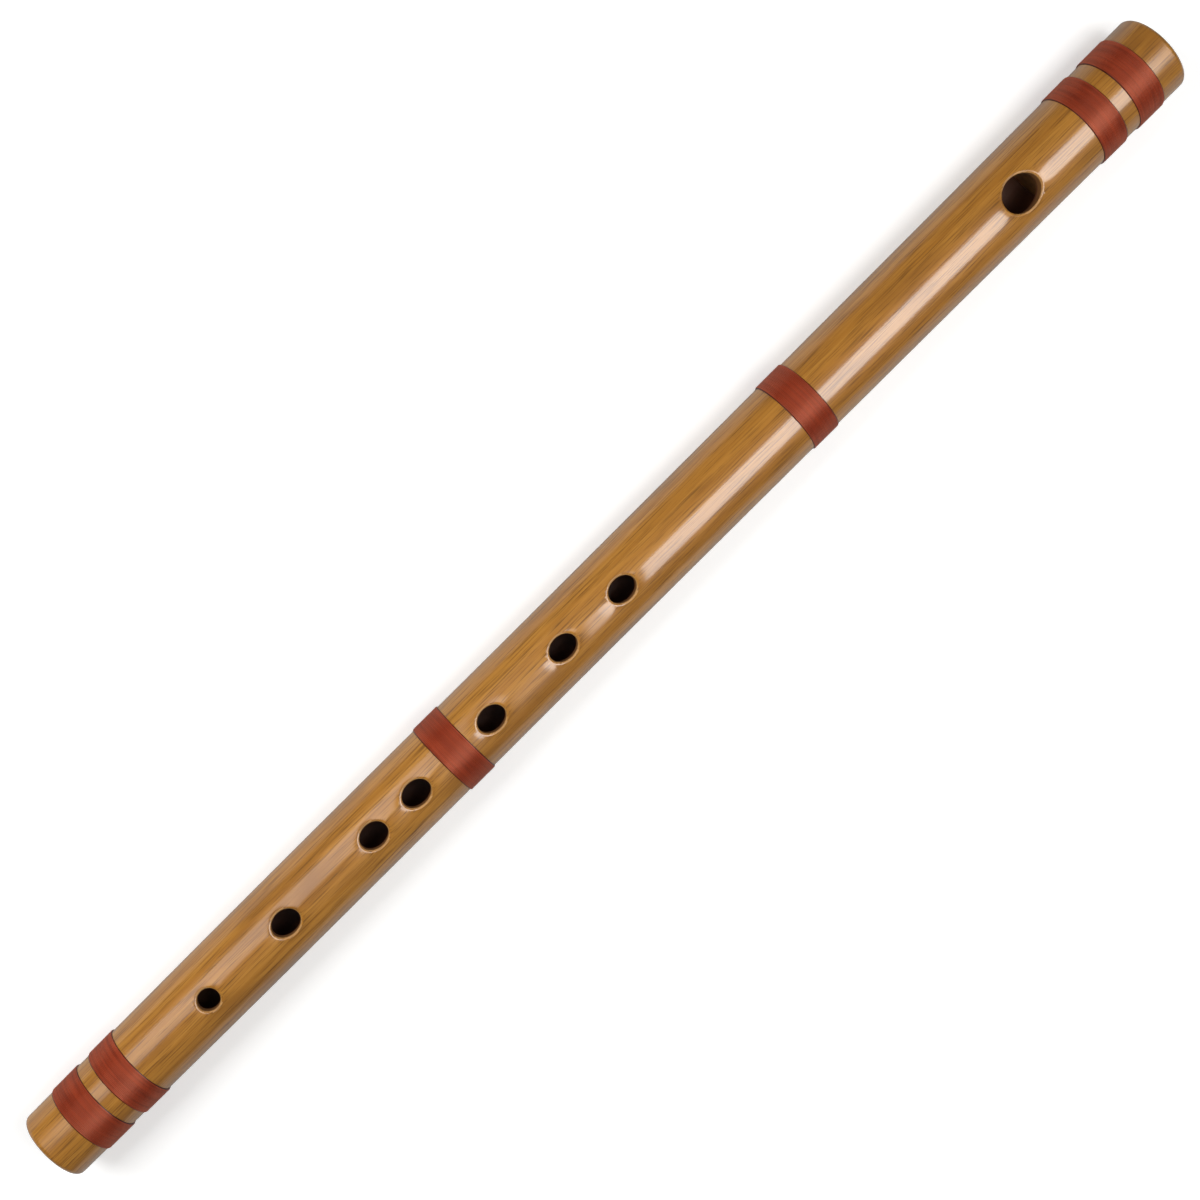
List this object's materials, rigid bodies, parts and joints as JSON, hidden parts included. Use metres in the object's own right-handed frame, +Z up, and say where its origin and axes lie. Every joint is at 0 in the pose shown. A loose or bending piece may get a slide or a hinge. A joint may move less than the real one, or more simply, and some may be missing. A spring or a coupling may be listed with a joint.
{
  "type": "bamboo side-blown flute",
  "caption": "Slender bamboo side-blown flute with oval finger holes, an oval blow-hole, red thread bindings and an inner stopper.",
  "frame": {"origin": "under the middle of the flute's box, on the surface that the flute lies on", "axes": "+X from the foot end to the head end, along the flute as it lies; +Z up, the way the holes face; +Y across"},
  "size_m": [0.436, 0.0254, 0.0254],
  "materials": {
    "bamboo": "varnished, glossy",
    "thread": "lacquered thread winding",
    "cork": "matt",
    "wax": "satin wax"
  },
  "bodies": {
    "root": {"bamboo_tube": "bamboo", "foot_end_binding": "thread", "foot_inner_binding": "thread", "hand_binding": "thread", "upper_binding": "thread", "head_inner_binding": "thread", "head_end_binding": "thread", "stopper_cork": "cork", "stopper_wax": "wax"}
  },
  "joints": []
}
